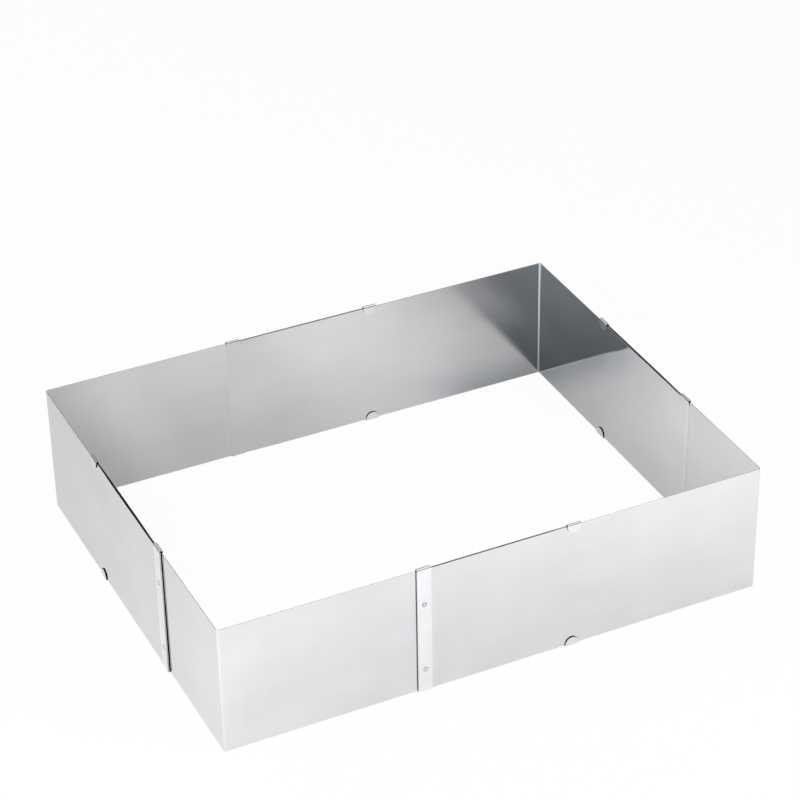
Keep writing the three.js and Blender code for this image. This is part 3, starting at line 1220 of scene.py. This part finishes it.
@dataclass(frozen=True)
class PaperFloor:
    """White paper under the frame, plain white where it is seen directly.

    In the steel it shows with soft painted shades: a cool one close to the rear right corner, a dim one
    before the left half of the rear wall, a dark painted reflection where the steel shows it by way of a
    second wall, and black after a third bounce. Places are in metres from the middle of the frame, and a pair
    is the range over which a shade eases in or out.
    """

    half: float = 4.0
    level: float = 0.96
    seen_white: float = 0.97
    shown_white: float = 0.27
    white_stop: Pair = (0.5, 1.2)
    right_wall: float = 0.172
    rear_wall: float = 0.1356
    corner_x: Pair = (0.03, 0.07)
    corner_y: Pair = (-0.04, 0.0)
    dim_start: Pair = (-0.1, -0.06)
    dim_stop: Pair = (0.0, 0.05)
    dim_share: float = 0.2
    close_x: Pair = (0.08, 0.13)
    close_y: Pair = (0.095, 0.137)
    close_share: float = 0.43
    close_tone: Colour = (0.0, 0.13, 0.18, 1.0)
    twice_share: float = 0.64
    twice_tone: Colour = (0.05, 0.105, 0.118, 1.0)
    deep_x: Pair = (0.125, 0.155)
    deep_share: float = 0.1
    open_x: Pair = (0.138, 0.162)
    open_y: Pair = (0.03, 0.085)
    open_share: float = 0.5
    second_bounce: float = 1.5
    third_bounce: float = 2.5

    def build(self) -> None:
        """Makes the floor and gives it its paper."""
        half = self.half
        mesh = bpy.data.meshes.new("studio_floor")
        corners = [(-half, -half, 0.0), (half, -half, 0.0), (half, half, 0.0), (-half, half, 0.0)]
        mesh.from_pydata(corners, [], [(0, 1, 2, 3)])
        floor = bpy.data.objects.new("studio_floor", mesh)
        bpy.context.scene.collection.objects.link(floor)
        mesh.materials.append(self._paper())

    def _paper(self) -> bpy.types.Material:
        """Builds the paper: lit white mixed with plain white, by what kind of ray meets it.

        Returns:
            The material.
        """
        paper, nodes = new_material("white_paper")
        seen, through = nodes.ray("Is Camera Ray"), nodes.ray("Is Transmission Ray")
        glossy, depth = nodes.ray("Is Glossy Ray"), nodes.ray("Ray Depth")
        twice = glossy * (depth > self.second_bounce)
        place = nodes.add("ShaderNodeTexCoord", {}, {}, output="Object")
        x, y = nodes.part(place, "X"), nodes.part(place, "Y")
        # Painted shades that only the steel's reflections show: darker paper near the rear right corner and
        # before the left half of the rear wall, a dark painted reflection by way of a second wall, and black
        # after a third bounce.
        before_rear = y.between(*self.corner_y) - (y > self.rear_wall)
        corner = (x.between(*self.corner_x) - (x > self.right_wall)) * before_rear
        middle = x.between(*self.dim_start) - x.between(*self.dim_stop)
        dim = self.dim_share * glossy * middle * before_rear * (1.0 - twice)
        close = self.close_share * glossy * corner * x.between(*self.close_x)
        close = close * y.between(*self.close_y) * (1.0 - twice)
        open_side = x.between(*self.open_x) * (1.0 - y.between(*self.open_y))
        deep_side = 1.0 - x.between(*self.deep_x)
        dark = self.twice_share + self.deep_share * deep_side - self.open_share * open_side
        tone = nodes.blend(close, grey(self.level), self.close_tone)
        tone = nodes.blend(dim, tone, grey(0.0))
        tone = nodes.blend(twice * corner * dark, tone, self.twice_tone)
        tone = nodes.blend(glossy * (depth > self.third_bounce), tone, grey(0.0))
        lit = nodes.add("ShaderNodeBsdfDiffuse", {}, {"Color": tone})
        white = nodes.add("ShaderNodeEmission", {}, {"Color": grey(1.0), "Strength": 1.0})
        far = nodes.add("ShaderNodeVectorMath", {"operation": "LENGTH"}, {0: place}, output="Value")
        shown = self.shown_white * glossy * (1.0 - twice) * (1.0 - close)
        shown = shown * (1.0 - far.between(*self.white_stop))
        share = self.seen_white * seen + self.seen_white * through + shown
        surface = nodes.add("ShaderNodeMixShader", {}, {0: share, 1: lit, 2: white})
        nodes.add("ShaderNodeOutputMaterial", {}, {"Surface": surface})
        return paper


@dataclass(frozen=True)
class Surround:
    """A dim surround, plain white where it is seen directly, which the steel shows brighter overhead and,
    after a third bounce, near black as painted shade in narrow gaps.
    """

    level: float = 0.03
    shown_low: float = 0.1
    shown_gain: float = 0.88
    shown_rise: Pair = (0.38, 0.8)
    deep_level: float = 0.02
    deep_warmth: float = -0.05
    third_bounce: float = 2.5

    def build(self) -> None:
        """Makes the surround and gives it to the scene."""
        world = bpy.data.worlds.new("studio_surround")
        world.use_nodes = True
        bpy.context.scene.world = world
        nodes = Nodes(world.node_tree)
        seen, through = nodes.ray("Is Camera Ray"), nodes.ray("Is Transmission Ray")
        glossy, depth = nodes.ray("Is Glossy Ray"), nodes.ray("Ray Depth")
        rise = nodes.part(nodes.add("ShaderNodeTexCoord", {}, {}, output="Generated"), "Z")
        overhead = self.shown_low + self.shown_gain * rise.between(*self.shown_rise)
        level = nodes.blend(seen + through + glossy * overhead, grey(self.level), grey(1.0))
        # Painted shade: rays that have bounced more than twice see a near-black surround, which darkens the
        # gaps between sheets.
        deep = glossy * (depth > self.third_bounce)
        level = nodes.blend(deep, level, grey(self.deep_level, self.deep_warmth))
        surround = nodes.add("ShaderNodeBackground", {}, {"Color": level, "Strength": 1.0})
        nodes.add("ShaderNodeOutputWorld", {}, {"Surface": surround})


@dataclass(frozen=True)
class Studio:
    """A pale floor, a surround and four soft lights."""

    softboxes: tuple[Softbox, ...] = (
        Softbox("left_softbox", (-0.5, -0.3, 0.42), power=3.9, side=0.4),
        Softbox("right_softbox", (0.35, -0.45, 0.36), power=2.3, side=0.3),
        Softbox("rear_softbox", (-0.4, 0.8, 0.8), power=3.75, side=0.8),
        Softbox("top_softbox", (0.15, 0.03, 0.28), power=0.15, side=0.25),
    )

    def build(self) -> None:
        """Makes the floor, the lights and the surround."""
        PaperFloor().build()
        for softbox in self.softboxes:
            softbox.build()
        Surround().build()


@dataclass(frozen=True)
class PhotoCamera:
    """The camera at the photograph's viewing angle, solved from the corners of the walls.

    Its place is in millimetres, and its angles are in degrees.
    """

    place: tuple[float, float, float] = (-593.46, -1274.04, 1010.77)
    heading: float = -25.131
    tilt: float = 57.228
    roll: float = -1.105
    lens: float = 126.114
    sensor: float = 36.0
    nearest: float = 0.05

    def build(self) -> None:
        """Makes the camera and gives it to the scene."""
        data = bpy.data.cameras.new("photo_camera")
        data.lens = self.lens
        data.sensor_width = self.sensor
        data.clip_start = self.nearest
        camera = bpy.data.objects.new("photo_camera", data)
        matrix = Matrix.Translation([value * MM for value in self.place])
        for angle, axis in zip((self.heading, self.tilt, self.roll), "ZXZ"):
            matrix = matrix @ Matrix.Rotation(math.radians(angle), 4, axis)
        camera.matrix_world = matrix
        bpy.context.scene.collection.objects.link(camera)
        bpy.context.scene.camera = camera


def main() -> None:
    """Builds the frame, the studio and the camera."""
    logging.basicConfig(level=logging.INFO, format="%(name)s: %(message)s")
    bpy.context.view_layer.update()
    bpy.context.scene.view_settings.view_transform = "Standard"
    BakingFrame().build()
    Studio().build()
    PhotoCamera().build()


if __name__ == "__main__":
    main()
